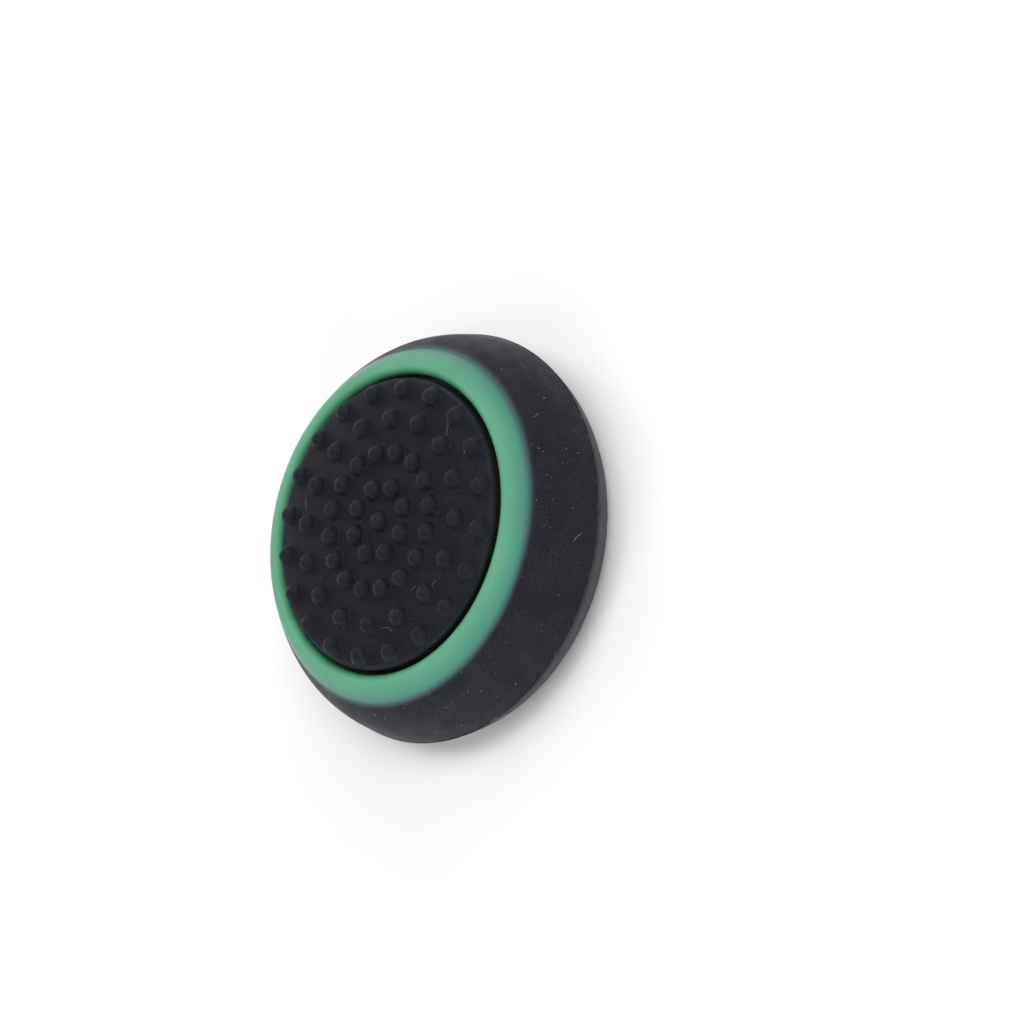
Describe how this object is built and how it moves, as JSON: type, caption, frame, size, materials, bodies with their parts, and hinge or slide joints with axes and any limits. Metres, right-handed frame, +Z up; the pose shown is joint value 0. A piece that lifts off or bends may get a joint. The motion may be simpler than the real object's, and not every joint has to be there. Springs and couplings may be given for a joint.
{
  "type": "controller thumb grip",
  "caption": "Soft silicone cap for a game controller's thumbstick, with a studded top pad, a coloured shoulder ring and an inward lip that grips the stick's head.",
  "frame": {"origin": "centre of the foot that the cap rests on, at the bottom of its bounding box", "axes": "+Z up along the cap's axis, towards the studded pad; +X through a stud of every ring but the second"},
  "size_m": [0.023, 0.023, 0.0076],
  "materials": {
    "black_silicone": "matte, fine moulded grain",
    "green_silicone": "satin, fading to black at its outer edge"
  },
  "bodies": {
    "root": {"cap_body": "black_silicone", "colour_ring": "green_silicone"}
  },
  "joints": []
}
